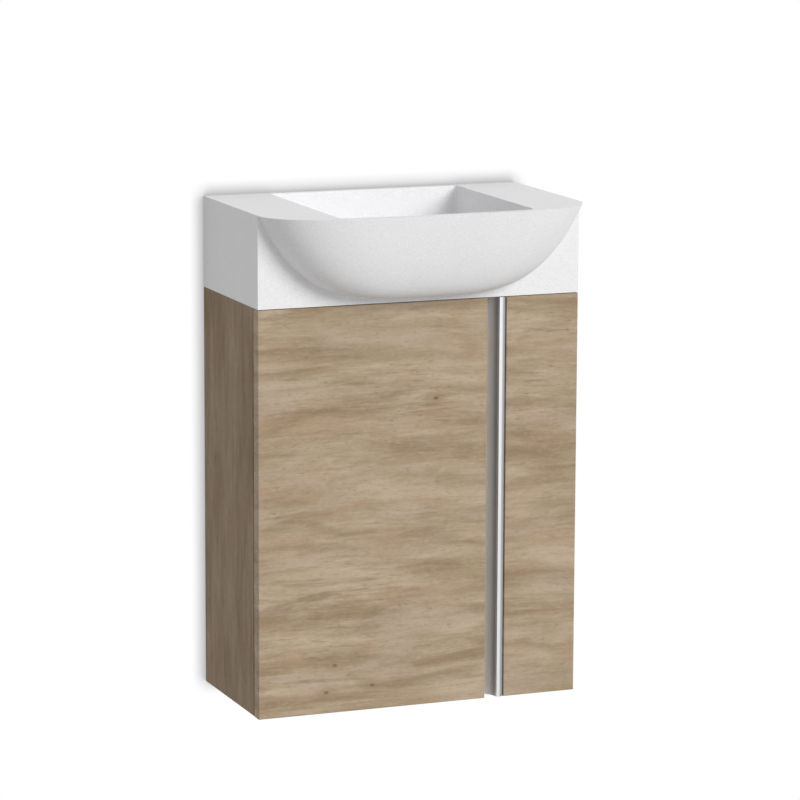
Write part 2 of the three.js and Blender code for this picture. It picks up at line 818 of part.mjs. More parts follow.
// Single-pivot cup hinges. The pin stands in the cup by the door's edge, and the arm's neck swings
// out of the cup's mouth as the door opens.
function hingeCup(z) {
  const outer = hinge.boreRadius - hinge.cupGap;
  const inner = outer - hinge.cupWall;
  const floor = yFrontBack - hinge.cupDepth;
  const face = yFrontBack + hinge.flange;
  const pot = turned(
    [
      [0, floor],
      [outer, floor],
      [outer, yFrontBack],
      [outer + hinge.flangeRim, yFrontBack],
      [outer + hinge.flangeRim, face],
      [inner, face],
      [inner, floor + hinge.cupWall],
      [0, floor + hinge.cupWall],
    ],
    hinge.cupSides,
    'y',
    [xBore, 0, z]
  );
  const xWing = xBore + hinge.wingShift;
  const wing = roundedRectangle(
    [z - hinge.wingLength / 2, z + hinge.wingLength / 2],
    [xWing - hinge.wingWidth / 2, xWing + hinge.wingWidth / 2],
    hinge.wingCorner,
    hinge.wingSteps
  );
  const opening = [yFrontBack - overrun, face + overrun];
  let plate = prism(wing, 'y', yFrontBack, face);
  plate = plate.subtract(rod(inner, ...opening, hinge.cupSides, 'y', [xBore, 0, z]));
  let body = pot.add(plate);
  for (const dz of [-hinge.holeSpread / 2, hinge.holeSpread / 2]) {
    const place = [xBore + hinge.holeShift, 0, z + dz];
    body = body.subtract(rod(hinge.holeRadius, ...opening, smallSides, 'y', place));
  }
  return body;
}

function hingeArm(z) {
  const turn = Math.PI / 2;
  const bend = hinge.neckRadius;
  const neck = quarter(xArm - bend, yPivot + bend, bend, -turn, 0, hinge.neckSteps);
  const path = [[xPivot, yPivot], ...neck, [xArm, yCarcass + hinge.armReach]];
  const width = [z - hinge.stripWidth / 2, z + hinge.stripWidth / 2];
  const web = prism(strip(path, hinge.strip), 'z', ...width);
  const ribY = [yCarcass + hinge.ribBack, yCarcass + hinge.armReach];
  const ribX = [xArm - hinge.strip / 2, xArm - hinge.strip / 2 + hinge.armRibHeight];
  const edge = hinge.armWidth / 2;
  let body = web.add(rod(hinge.barrelRadius, ...width, smallSides, 'z', [xPivot, yPivot, 0]));
  for (const [low, high] of [[-edge, -edge + hinge.armRib], [edge - hinge.armRib, edge]]) {
    body = body.add(block(ribX, ribY, [z + low, z + high]));
  }
  const hole = hinge.pinRadius + hinge.runGap;
  const through = [width[0] - overrun, width[1] + overrun];
  body = body.subtract(rod(hole, ...through, smallSides, 'z', [xPivot, yPivot, 0]));
  const screwHole = [xArm - overrun, xArm + overrun];
  const place = [0, yCarcass + hinge.screwLine, z];
  return body.subtract(rod(hinge.screwRadius + seatGap, ...screwHole, smallSides, 'x', place));
}

function hingePlate(z) {
  const y = yCarcass + hinge.plateLine;
  const half = hinge.plateLength / 2;
  const width = hinge.plateWidth / 2;
  const breadth = hinge.wingBreadth / 2;
  const span = hinge.wingSpan / 2;
  const wingFace = -xInside + hinge.wingThickness;
  const corner = hinge.wingBreadth / 4;
  const edges = [[y - breadth, y + breadth], [z - span, z + span]];
  const wing = roundedRectangle(...edges, corner, hinge.plateSteps);
  let body = block([-xInside, xPlateFace], [y - half, y + half], [z - width, z + width]);
  body = body.add(prism(wing, 'x', -xInside, wingFace));
  for (const dz of [-hinge.plateHoleSpread / 2, hinge.plateHoleSpread / 2]) {
    const hole = [-xInside - overrun, wingFace + overrun];
    body = body.subtract(rod(hinge.plateHoleRadius, ...hole, smallSides, 'x', [0, y, z + dz]));
  }
  const screwHole = [xPlateFace - hinge.screwSink - seatGap, xPlateFace + overrun];
  const place = [0, yCarcass + hinge.screwLine, z];
  return body.subtract(rod(hinge.screwRadius + seatGap, ...screwHole, smallSides, 'x', place));
}

function hingeScrew(z) {
  const seat = xArm + hinge.strip / 2 + seatGap;
  const tip = xPlateFace - hinge.screwSink;
  const profile = [
    [0, tip],
    [hinge.screwRadius, tip],
    [hinge.screwRadius, seat],
    [hinge.screwHead, seat],
    [hinge.screwHead, seat + hinge.headThickness / 2],
    [hinge.screwHead * hinge.headTopShare, seat + hinge.headThickness],
    [0, seat + hinge.headThickness],
  ];
  return turned(profile, smallSides, 'x', [0, yCarcass + hinge.screwLine, z]);
}

for (const [name, z] of hingeRows) {
  const pinSpan = [z - hinge.pinLength / 2, z + hinge.pinLength / 2];
  const place = [xPivot, yPivot, 0];
  add(`hinge_cup_${name}`, hingeCup(z), finish.steel);
  add(`hinge_pin_${name}`, rod(hinge.pinRadius, ...pinSpan, smallSides, 'z', place), finish.steel);
  add(`hinge_arm_${name}`, hingeArm(z), finish.steel);
  add(`hinge_plate_${name}`, hingePlate(z), finish.steel);
  add(`hinge_screw_${name}`, hingeScrew(z), finish.steel);
}

// Cabinet hangers in the upper rear corners, hooked over plates on the wall
for (const [name, side] of bothSides) {
  const zHigh = zSeat - hanger.drop;
  const yNear = -hanger.fromWall;
  const yFar = yNear - hanger.depth;
  const xMiddle = side * (xInside - hanger.width / 2);
  const across = (width) => [xMiddle - width / 2, xMiddle + width / 2];
  const hookTop = zSeat - hanger.hookDrop;
  const hookUnder = hookTop - hanger.hookHeight;
  const slotHeight = [hookUnder - seatGap, hookTop + seatGap];
  const slotDepth = [yNear - hanger.hookSink - seatGap, yNear + overrun];
  const edges = [[yFar, yNear], [zHigh - hanger.height, zHigh]];
  const outline = roundedRectangle(...edges, hanger.corner, hanger.cornerSteps);
  let body = prism(outline, 'x', ...across(hanger.width));
  body = body.subtract(block(across(hanger.hookThickness + 2 * seatGap), slotDepth, slotHeight));
  const rows = [-hanger.screwSpread / 2, hanger.screwSpread / 2];
  for (const [i, dz] of rows.entries()) {
    const place = [xMiddle, 0, zHigh - hanger.height / 2 + dz];
    const hole = [yFar - overrun, yFar + hanger.screwLength + seatGap];
    body = body.subtract(rod(hanger.screwRadius + seatGap, ...hole, smallSides, 'y', place));
    const seat = yFar - seatGap;
    const head = seat - hanger.headThickness;
    const profile = [
      [0, head],
      [hanger.screwHead, head],
      [hanger.screwHead, seat],
      [hanger.screwRadius, seat],
      [hanger.screwRadius, yFar + hanger.screwLength],
      [0, yFar + hanger.screwLength],
    ];
    let screw = turned(profile, smallSides, 'y', place);
    const long = hanger.screwHead * hanger.crossShare;
    const thin = hanger.slotWidth / 2;
    const deep = [head - overrun, head + hanger.slotDepth];
    for (const [u, v] of [[long, thin], [thin, long]]) {
      const z0 = place[2];
      screw = screw.subtract(block([xMiddle - u, xMiddle + u], deep, [z0 - v, z0 + v]));
    }
    add(`hanger_screw_${name}_${i === 0 ? 'lower' : 'upper'}`, screw, finish.steel);
  }
  add(`hanger_${name}`, body, finish.plastic);

  const tongue = -wallPlate.standOff + seatGap;
  const hook = [
    [yNear - hanger.hookSink, hookUnder],
    [tongue, hookUnder],
    [tongue, hookUnder - hanger.tongueLength],
    [tongue + hanger.tongueThickness, hookUnder - hanger.tongueLength],
    [tongue + hanger.tongueThickness, hookTop],
    [yNear - hanger.hookSink, hookTop],
  ];
  add(`hanger_hook_${name}`, prism(hook, 'x', ...across(hanger.hookThickness)), finish.steel);

  const half = wallPlate.sheet / 2;
  const lipTop = hookUnder - seatGap;
  const lipFoot = lipTop - wallPlate.lip;
  const path = [
    [-wallPlate.standOff - half, lipTop],
    [-wallPlate.standOff - half, lipFoot],
    [-half, lipFoot - wallPlate.joggle],
    [-half, lipFoot - wallPlate.joggle - wallPlate.height],
  ];
  const near = xInside - wallPlate.sideGap;
  const plateX = [side * near, side * (near - wallPlate.width)].sort((a, b) => a - b);
  let plate = prism(strip(path, wallPlate.sheet), 'x', ...plateX);
  const zHole = lipFoot - wallPlate.joggle - wallPlate.height + wallPlate.holeRise;
  for (const dx of [-wallPlate.holeSpread / 2, wallPlate.holeSpread / 2]) {
    const place = [(plateX[0] + plateX[1]) / 2 + dx, 0, zHole];
    const hole = [-wallPlate.sheet - overrun, overrun];
    plate = plate.subtract(rod(wallPlate.holeRadius, ...hole, smallSides, 'y', place));
  }
  add(`wall_plate_${name}`, plate, finish.steel);
}

export default unit;
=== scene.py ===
"""Looks of a wall-hung vanity unit: cast basin, oak decor cabinet, brushed handle channel.

Metres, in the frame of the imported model: X right, Y into the wall, Z up, the wall at y = 0.
"""
import json
import math

import bmesh
import bpy
from mathutils import Matrix, Vector


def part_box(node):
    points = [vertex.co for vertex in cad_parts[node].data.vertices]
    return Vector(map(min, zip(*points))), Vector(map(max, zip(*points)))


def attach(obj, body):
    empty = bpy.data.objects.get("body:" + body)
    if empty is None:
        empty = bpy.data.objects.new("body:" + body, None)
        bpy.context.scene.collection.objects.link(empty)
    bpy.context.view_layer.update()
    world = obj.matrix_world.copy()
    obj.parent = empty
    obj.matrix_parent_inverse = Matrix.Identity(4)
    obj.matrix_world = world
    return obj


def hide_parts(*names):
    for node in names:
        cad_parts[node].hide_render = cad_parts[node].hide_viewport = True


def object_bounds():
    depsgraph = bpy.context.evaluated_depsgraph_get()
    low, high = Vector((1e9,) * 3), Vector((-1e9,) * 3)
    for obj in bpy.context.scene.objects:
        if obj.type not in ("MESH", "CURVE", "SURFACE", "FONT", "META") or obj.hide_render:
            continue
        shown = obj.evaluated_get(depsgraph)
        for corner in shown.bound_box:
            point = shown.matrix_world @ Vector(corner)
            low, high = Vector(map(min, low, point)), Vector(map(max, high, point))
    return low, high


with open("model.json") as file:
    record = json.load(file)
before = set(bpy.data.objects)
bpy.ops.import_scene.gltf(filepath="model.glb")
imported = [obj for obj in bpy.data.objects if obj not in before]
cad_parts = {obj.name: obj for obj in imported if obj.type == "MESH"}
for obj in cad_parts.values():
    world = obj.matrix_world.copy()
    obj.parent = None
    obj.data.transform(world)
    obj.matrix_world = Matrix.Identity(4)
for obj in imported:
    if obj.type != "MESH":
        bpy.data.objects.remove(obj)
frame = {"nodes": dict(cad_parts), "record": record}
cad_low, cad_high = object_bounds()

MM = 0.001
QUARTER = math.pi / 2

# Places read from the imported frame
basin_low, basin_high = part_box("basin")
door_low, door_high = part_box("door")
fixed_low, fixed_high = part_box("fixed_front")
waste_low, waste_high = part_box("waste_body")
cap_low, cap_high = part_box("waste_cap")
channel_low, channel_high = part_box("handle_channel")

Z_TOP = basin_high.z
Z_SEAT = basin_low.z
X_SIDE = basin_high.x
Y_FRONT = door_low.y
Y_WASTE = (waste_low.y + waste_high.y) / 2

BOWL_REACH = Y_FRONT - basin_low.y
KEEL_RISE = 8 * MM
BOWL_BURY = 8 * MM
BOWL_STEPS = 168
BOWL_LEVELS = 26
SMALLEST_SHARE = 0.12
RIM_ROUND = 2.5 * MM

SIDE_DECK = 90 * MM
REAR_RIM = 10 * MM
FRONT_RIM = 15 * MM
TROUGH_WALL = 13 * MM
TROUGH_CORNER = 5 * MM
TROUGH_FLARE = 1.5 * MM
TROUGH_DRAFT = 5 * MM
FLOOR_ROUND = 24 * MM
FLOOR_FALL = 4 * MM
DISH_RADIUS = 46 * MM

POCKET_WALL = 13 * MM
POCKET_REAR = 14 * MM
DECK = 14 * MM
TROUGH_RECESS = 16 * MM
WASTE_SEAT = 10 * MM
DRAIN_RECESS = 4 * MM
DRAIN_RECESS_RADIUS = 33.5 * MM
DRAIN_HOLE_RADIUS = 23 * MM
STUD_FROM_SIDE = 47 * MM
STUD_HOLE_RADIUS = 6.5 * MM
OVERRUN = 5 * MM

# How near two points or a point and a face count as together, and where a surface has an edge
WELD = 0.001 * MM
ON_TOP = 0.01 * MM
ON_SIDE = 0.1 * MM
SHARP_ANGLE = 40

CHANNEL_WALL = 1.8 * MM
GRIP_REACH = 33 * MM
LIP_WIDTH = 9.5 * MM
LIP_FALL = 2.6 * MM
LIP_GAP = 0.5 * MM
SCOOP_SWEEP = 30 * MM
SCOOP_STEEPNESS = 19 * MM
SCOOP_DEPTH = 12.5 * MM
X_LIP = fixed_low.x - LIP_GAP - LIP_WIDTH

Z_KEEL = Z_SEAT + KEEL_RISE
Z_UNDERSIDE = Z_SEAT + TROUGH_RECESS
Z_WASTE_SEAT = Z_UNDERSIDE + WASTE_SEAT
Z_DISH = Z_WASTE_SEAT + DRAIN_RECESS
Z_FLOOR = Z_DISH + FLOOR_FALL


# Camera, as fitted to the object's corners in the photograph
CAMERA_PLACE = (-1.83728, -4.79562, 0.70023)


def make_camera():
    yaw, pitch, roll = 0.376278, 0.179218, 0.003882
    focal_pixels, image_pixels, sensor = 3823.5, 800, 36.0
    data = bpy.data.cameras.new("camera")
    data.sensor_width = sensor
    data.lens = focal_pixels / image_pixels * sensor
    data.clip_start, data.clip_end = 0.1, 100
    ahead = Vector((math.sin(yaw) * math.cos(pitch), math.cos(yaw) * math.cos(pitch), -math.sin(pitch)))
    right = Vector((math.cos(yaw), -math.sin(yaw), 0))
    up = right.cross(ahead)
    right_rolled = right * math.cos(roll) + up * math.sin(roll)
    up_rolled = up * math.cos(roll) - right * math.sin(roll)
    turn = Matrix((right_rolled, up_rolled, -ahead)).transposed()
    camera = bpy.data.objects.new("camera", data)
    camera.matrix_world = Matrix.Translation(CAMERA_PLACE) @ turn.to_4x4()
    bpy.context.collection.objects.link(camera)
    bpy.context.scene.camera = camera


make_camera()


# Materials
class Nodes:
    """A short way to write a material's node tree."""

    def __init__(self, name):
        self.material = bpy.data.materials.new(name)
        self.material.use_nodes = True
        self.tree = self.material.node_tree
        self.shader = self.tree.nodes["Principled BSDF"]
        self.place = self.tree.nodes.new("ShaderNodeTexCoord").outputs["Object"]

    def node(self, kind, settings=None, **inputs):
        made = self.tree.nodes.new("ShaderNode" + kind)
        for key, value in (settings or {}).items():
            setattr(made, key, value)
        for key, value in inputs.items():
            self.put(made.inputs[key.replace("_", " ")], value)
        return made

    def put(self, socket, value):
        if isinstance(value, bpy.types.NodeSocket):
            self.tree.links.new(value, socket)
        else:
            socket.default_value = value

    def mapped(self, scale, turn=(0, 0, 0), shift=(0, 0, 0), source=None):
        made = self.node("Mapping", Scale=scale, Rotation=turn, Location=shift)
        self.put(made.inputs["Vector"], source or self.place)
        return made.outputs["Vector"]

    def noise(self, place, scale, detail=3.0, rough=0.5, distort=0.0):
        made = self.node("TexNoise", Scale=scale, Detail=detail, Roughness=rough, Distortion=distort)
        self.put(made.inputs["Vector"], place)
        return made.outputs["Fac"]

    def span(self, value, low, high, to_low=0.0, to_high=1.0):
        made = self.node("MapRange", {"interpolation_type": "SMOOTHSTEP"})
        for key, number in (("From Min", low), ("From Max", high), ("To Min", to_low), ("To Max", to_high)):
            made.inputs[key].default_value = number
        self.put(made.inputs["Value"], value)
        return made.outputs["Result"]

    def reckon(self, kind, a, b):
        made = self.node("Math", {"operation": kind})
        self.put(made.inputs[0], a)
        self.put(made.inputs[1], b)
        return made.outputs[0]

    def ramp(self, value, stops, kind="B_SPLINE"):
        made = self.node("ValToRGB")
        ramp = made.color_ramp
        ramp.interpolation = kind
        while len(ramp.elements) < len(stops):
            ramp.elements.new(1.0)
        for element, (position, colour) in zip(ramp.elements, stops):
            element.position = position
            element.color = colour
        self.put(made.inputs["Fac"], value)
        return made.outputs["Color"]

    def mix(self, amount, a, b):
        made = self.node("Mix", {"data_type": "RGBA"})
        self.put(made.inputs[0], amount)
        self.put(made.inputs[6], a)
        self.put(made.inputs[7], b)
        return made.outputs[2]

    def bump(self, height, strength, distance):
        made = self.node("Bump", Strength=strength, Distance=distance, Height=height)
        self.put(self.shader.inputs["Normal"], made.outputs["Normal"])

    def set(self, **values):
        for key, value in values.items():
            self.put(self.shader.inputs[key.replace("_", " ")], value)
        return self.material


def linear(colour):
    """A colour written as 0 to 255 sRGB, as the linear values that sockets take."""

    def one(level):
        share = level / 255
        return share / 12.92 if share <= 0.04045 else ((share + 0.055) / 1.055) ** 2.4

    return tuple(one(level) for level in colour) + (1.0,)


def oak(name, turn, shift, depth=(1.0, 1.0, 1.0), sheen=0.28):
    """Oak decor. After the turn the grain runs along X and its lines lie across Z.

    The shift picks the stretch of decor that the board is cut from.
    """
    m = Nodes(name)

    def dye(*colour):
        return linear(tuple(level * share for level, share in zip(colour, depth)))

    base = m.mapped((1, 1, 1), turn, shift)
    bend = m.noise(m.mapped((2.6, 5, 7), source=base), 1.0, 1.5, 0.4)
    sway = m.node("CombineXYZ", Z=m.reckon("MULTIPLY", m.reckon("SUBTRACT", bend, 0.5), 0.032)).outputs[0]
    flow = m.node("VectorMath", {"operation": "ADD"})
    m.put(flow.inputs[0], base)
    m.put(flow.inputs[1], sway)
    flow = flow.outputs[0]

    broad = m.noise(m.mapped((5.5, 8, 27), source=flow), 1.0, 5.0, 0.58, 0.35)
    bands = m.noise(m.mapped((9, 30, 85), source=flow), 1.0, 5.0, 0.6, 0.6)
    lines = m.noise(m.mapped((16, 80, 380), source=flow), 1.0, 4.0, 0.62, 0.25)
    fibre = m.noise(m.mapped((80, 300, 1900), source=flow), 1.0, 2.0)
    warm = m.noise(m.mapped((9, 9, 30), shift=(3.1, 0, 1.7), source=flow), 1.0, 5.0, 0.6, 0.5)
    cool = m.noise(m.mapped((6, 9, 20), shift=(8.6, 0, 4.2), source=flow), 1.0, 5.0, 0.6, 0.5)

    # Body of the decor: a narrow run of greige, then pinkish and olive clouds
    tone = m.ramp(
        m.reckon("ADD", m.reckon("MULTIPLY", broad, 0.6), m.reckon("MULTIPLY", bands, 0.4)),
        [
            (0.39, dye(142, 120, 94)),
            (0.46, dye(160, 140, 114)),
            (0.53, dye(172, 153, 128)),
            (0.61, dye(188, 170, 147)),
        ],
    )
    tone = m.mix(m.span(warm, 0.5, 0.64, 0, 0.5), tone, dye(169, 143, 115))
    tone = m.mix(m.span(warm, 0.48, 0.34, 0, 0.45), tone, dye(164, 148, 118))
    tone = m.mix(m.span(cool, 0.5, 0.64, 0, 0.5), tone, dye(182, 165, 147))

    # Grain: fine lines, long thin streaks, short dark ticks
    tone = m.mix(m.span(lines, 0.52, 0.7, 0, 0.15), tone, dye(141, 119, 94))
    tone = m.mix(m.span(lines, 0.44, 0.3, 0, 0.12), tone, dye(190, 173, 150))
    flock = m.noise(m.mapped((5, 12, 11), shift=(2.7, 0, 6.6), source=flow), 1.0, 2.0, 0.5)
    crowd = m.span(flock, 0.4, 0.62, 0.25, 1.0)
    for scale, offset, amount in (
        ((7, 40, 75), (0.4, 0, 5.3), 0.55),
        ((13, 40, 150), (7.4, 0, 2.2), 0.6),
        ((26, 60, 210), (4.4, 0, 9.1), 0.5),
    ):
        streak = m.noise(m.mapped(scale, shift=offset, source=flow), 1.0, 5.0, 0.64, 0.7)
        drawn = m.reckon("MULTIPLY", m.span(streak, 0.57, 0.7, 0, amount), crowd)
        tone = m.mix(drawn, tone, dye(131, 108, 82))
    tick = m.noise(m.mapped((70, 120, 260), shift=(1.9, 0, 2.3), source=flow), 1.0, 2.0, 0.5)
    tone = m.mix(m.span(tick, 0.62, 0.74, 0, 0.5), tone, dye(124, 102, 78))
    grit = m.noise(m.mapped((130, 130, 330), shift=(5.9, 0, 1.3), source=flow), 1.0, 3.0, 0.7)
    tone = m.mix(m.span(grit, 0.5, 0.7, 0, 0.22), tone, dye(140, 119, 95))
    tone = m.mix(m.span(grit, 0.5, 0.3, 0, 0.22), tone, dye(190, 173, 150))

    # Small knots with a darker cloud round each
    knot = m.node("TexVoronoi", {"feature": "F1"}, Scale=1.0, Randomness=1.0)
    m.put(knot.inputs["Vector"], m.mapped((15, 1.2, 23), source=flow))
    picked = m.node("SeparateColor", Color=knot.outputs["Color"]).outputs[0]
    chosen = m.span(picked, 0.6, 0.64)
    for reach, heart, amount, colour in (
        (0.36, 0.02, 0.45, (142, 118, 92)),
        (0.075, 0.03, 0.75, (108, 86, 63)),
    ):
        spot = m.reckon("MULTIPLY", m.span(knot.outputs["Distance"], reach, heart), chosen)
        tone = m.mix(m.reckon("MULTIPLY", spot, amount), tone, dye(*colour))
    tone = m.mix(m.span(fibre, 0.38, 0.7, 0, 0.12), tone, dye(124, 104, 81))

    m.bump(m.reckon("ADD", fibre, m.reckon("MULTIPLY", lines, 0.6)), 0.12, 0.15 * MM)
    rough = m.span(lines, 0.3, 0.7, 0.52, 0.62)
    return m.set(Base_Color=tone, Roughness=rough, Specular_IOR_Level=sheen)


def mineral():
    """Satin cast mineral: white, with a fine pale speckle."""
    m = Nodes("cast_mineral")
    speck = m.noise(m.place, 430.0, 3.0, 0.75)
    cloud = m.noise(m.place, 26.0, 2.0)
    tone = m.mix(m.span(speck, 0.56, 0.66, 0, 0.75), linear((239, 239, 240)), linear((226, 226, 228)))
    tone = m.mix(m.span(speck, 0.44, 0.33, 0, 0.9), tone, linear((252, 252, 252)))
    tone = m.mix(m.span(cloud, 0.3, 0.7, 0, 0.12), tone, linear((232, 232, 235)))
    m.bump(speck, 0.05, 0.08 * MM)
    return m.set(Base_Color=tone, Roughness=0.42, Specular_IOR_Level=0.4)


# Tone across the channel's profile, the aluminium's pale grey with painted light: painted shade darkening
# the scoop towards the lip, a painted highlight on the lip's left edge and painted shade on its right edge.
# Millimetres right of the lip's left edge, and the colour there
CHANNEL_PAINTED_LIGHT = (
    (-40, (190, 191, 194)),
    (-22, (206, 207, 210)),
    (-16, (246, 247, 248)),
    (-9, (245, 246, 247)),
    (-4, (230, 231, 233)),
    (-0.65, (150, 151, 154)),
    (0.4, (240, 240, 241)),
    (3.6, (236, 236, 238)),
    (5.2, (172, 173, 176)),
)
PAINTED_LIGHT_FROM = -40
PAINTED_LIGHT_TO = 10


def anodised():
    """Matt anodised aluminium, pale in the scoop, with painted shade darkening the scoop towards the lip
    and a painted highlight on the left edge of its lip.
    """
    m = Nodes("anodised_aluminium_painted_light")
    streak = m.noise(m.mapped((900, 900, 12)), 1.0, 3.0, 0.6)
    smear = m.noise(m.place, 9.0, 2.0)
    split = m.node("SeparateXYZ", Vector=m.place)
    across = m.node("MapRange")
    across.inputs["From Min"].default_value = X_LIP + PAINTED_LIGHT_FROM * MM
    across.inputs["From Max"].default_value = X_LIP + PAINTED_LIGHT_TO * MM
    m.put(across.inputs["Value"], split.outputs["X"])
    length = PAINTED_LIGHT_TO - PAINTED_LIGHT_FROM
    stops = [((place - PAINTED_LIGHT_FROM) / length, linear(colour)) for place, colour in CHANNEL_PAINTED_LIGHT]
    # Painted shade and painted highlight across the profile, set into the base colour
    tone = m.ramp(across.outputs["Result"], stops, "LINEAR")
    tone = m.mix(m.span(streak, 0.3, 0.7, 0, 0.1), tone, linear((150, 152, 155)))
    bare = m.span(split.outputs["Y"], Y_FRONT + 3.4 * MM, Y_FRONT + 2.2 * MM)
    rough = m.reckon("ADD", m.span(streak, 0.3, 0.7, 0.36, 0.44), m.span(smear, 0.3, 0.7, 0, 0.04))
    m.bump(streak, 0.06, 0.05 * MM)
    metal = m.span(bare, 0, 1, 0.12, 0.7)
    return m.set(Base_Color=tone, Metallic=metal, Roughness=rough)


def plated(name, colour, rough):
    """Plated steel or chrome with a faint cloud in its gloss."""
    m = Nodes(name)
    cloud = m.noise(m.place, 140.0, 3.0)
    dark = tuple(level * 0.95 for level in colour)
    tone = m.mix(m.span(cloud, 0.35, 0.65), linear(dark), linear(colour))
    return m.set(Base_Color=tone, Metallic=1.0, Roughness=m.span(cloud, 0.3, 0.7, rough, rough * 1.3))


def moulded(name, colour, rough):
    """Moulded plastic or rubber with a fine grain."""
    m = Nodes(name)
    grain = m.noise(m.place, 900.0, 2.0)
    dark = tuple(level * 0.94 for level in colour)
    tone = m.mix(m.span(grain, 0.35, 0.65), linear(dark), linear(colour))
    m.bump(grain, 0.1, 0.05 * MM)
    return m.set(Base_Color=tone, Roughness=rough)


# Finishes. Turns of the decor: across a front, up a front, up a side, along a board that lies flat
ACROSS = (0, 0, 0)
UP_FRONT = (0, QUARTER, 0)
UP_SIDE = (QUARTER, 0, QUARTER)
LYING = (QUARTER, 0, 0)
FRONT_DYE = (1.03, 1.03, 1.03)
CARCASS_DYE = (0.905, 0.88, 0.855)
finishes = {
    "cast_mineral": mineral(),
    "oak_door": oak("oak_door", ACROSS, (0.31, 0, 0.12), FRONT_DYE),
    "oak_fixed": oak("oak_fixed", ACROSS, (2.04, 0, 0.35), FRONT_DYE),
    "oak_left": oak("oak_left", UP_SIDE, (1.4, 3.0, 0.9), CARCASS_DYE, 0.14),
    "oak_right": oak("oak_right", UP_SIDE, (4.4, 1.0, 2.9), CARCASS_DYE, 0.14),
    "oak_rail": oak("oak_rail", ACROSS, (6.2, 2.0, 1.4), CARCASS_DYE, 0.14),
    "oak_lying": oak("oak_lying", LYING, (3.2, 5.0, 4.4), CARCASS_DYE, 0.14),
    "oak_stile": oak("oak_stile", UP_FRONT, (5.2, 0.4, 3.4), CARCASS_DYE, 0.14),
    "aluminium": anodised(),
    "steel": plated("zinc_plated_steel", (196, 198, 200), 0.32),
    "chrome": plated("polished_chrome", (226, 228, 230), 0.07),
    "plastic": moulded("pale_plastic", (216, 216, 212), 0.5),
    "rubber": moulded("black_rubber", (42, 42, 42), 0.75),
}
BOARD_FINISH = {
    "door": "oak_door",
    "fixed_front": "oak_fixed",
    "side_panel_left": "oak_left",
    "side_panel_right": "oak_right",
    "stile": "oak_stile",
    "shelf": "oak_lying",
    "bottom_panel": "oak_lying",
}
SLOT_FINISH = {
    "mineral": "cast_mineral",
    "oak_front": "oak_rail",
    "oak_carcass": "oak_rail",
    "aluminium": "aluminium",
    "steel": "steel",
    "chrome": "chrome",
    "plastic": "plastic",
    "rubber": "rubber",
}


def finish_cad_nodes():
    for part in frame["record"]["subparts"]:
        node = frame["nodes"][part["node"]]
        name = BOARD_FINISH.get(part["node"], SLOT_FINISH[part["material_slot"]])
        node.data.materials.clear()
        node.data.materials.append(finishes[name])


finish_cad_nodes()


# Meshes
def object_from(name, bm):
    mesh = bpy.data.meshes.new(name)
    bm.to_mesh(mesh)
    bm.free()
    made = bpy.data.objects.new(name, mesh)
    bpy.context.collection.objects.link(made)
    return made


def mapped_grid(columns, rows, place, closed=False):
    """A grid whose corners go to place(u, v), u and v from 0 to 1. Closed joins u = 1 to u = 0."""
    bm = bmesh.new()
    bmesh.ops.create_grid(bm, x_segments=columns, y_segments=rows, size=1)
    for vert in bm.verts:
        vert.co = place((vert.co.x + 1) / 2, (vert.co.y + 1) / 2)
    if closed:
        bmesh.ops.remove_doubles(bm, verts=bm.verts, dist=WELD)
    return bm


def cap_open_ends(bm):
    bmesh.ops.holes_fill(bm, edges=[e for e in bm.edges if e.is_boundary], sides=0)
    bmesh.ops.recalc_face_normals(bm, faces=bm.faces)


def box_mesh(low, high):
    bm = bmesh.new()
    bmesh.ops.create_cube(bm, size=1)
    size = Vector(high) - Vector(low)
    bmesh.ops.scale(bm, vec=size, verts=bm.verts)
    bmesh.ops.translate(bm, vec=(Vector(high) + Vector(low)) / 2, verts=bm.verts)
    return bm


def turned_mesh(profile, centre, steps=96):
    """A turned shape from (radius, height) points, spun about the upright through the centre."""
    bm = bmesh.new()
    corners = [bm.verts.new((centre[0] + radius, centre[1], height)) for radius, height in profile]
    edges = [bm.edges.new(pair) for pair in zip(corners, corners[1:])]
    bmesh.ops.spin(
        bm,
        geom=corners + edges,
        cent=(centre[0], centre[1], 0),
        axis=(0, 0, 1),
        angle=2 * math.pi,
        steps=steps,
        use_merge=True,
    )
    bmesh.ops.remove_doubles(bm, verts=bm.verts, dist=WELD)
    bmesh.ops.recalc_face_normals(bm, faces=bm.faces)
    return bm


def cut_or_join(target, kind, bm):
    """Joins a shape to the target or cuts it out, and applies the result."""
    tool = object_from("tool", bm)
    change = target.modifiers.new("change", "BOOLEAN")
    change.operation = kind
    change.object = tool
    change.solver = "EXACT"
    with bpy.context.temp_override(object=target, active_object=target):
        bpy.ops.object.modifier_apply(modifier=change.name)
    bpy.data.objects.remove(tool)


def shade(made, angle_degrees):
    for face in made.data.polygons:
        face.use_smooth = True
    made.data.set_sharp_from_angle(angle=math.radians(angle_degrees))
    weighted = made.modifiers.new("weighted", "WEIGHTED_NORMAL")
    weighted.keep_sharp = True
    weighted.weight = 80


def keep(made, finish, slot, body, *nodes):
    made.data.materials.append(finishes[finish])
    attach(made, body)
    if nodes:
        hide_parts(*nodes)


# Basin
def swell_point(angle, share):
    c4, s2 = math.cos(angle) ** 4, math.sin(angle) ** 2
    radius = 1.0 if c4 < 1e-9 else math.sqrt((math.sqrt(s2 * s2 + 4 * c4) - s2) / (2 * c4))
    across = X_SIDE * share * radius * math.cos(angle)
    out = BOWL_REACH * share * radius * math.sin(angle)
    return across, Y_FRONT - out


def share_at(z):
    return min(max((z - Z_KEEL) / (Z_TOP - Z_KEEL), 0), 1) ** 0.25


def swell_at(x, z):
    share = share_at(z)
    along = abs(x) / (X_SIDE * share)
    return BOWL_REACH * share * math.sqrt(max(1 - along ** 4, 0))


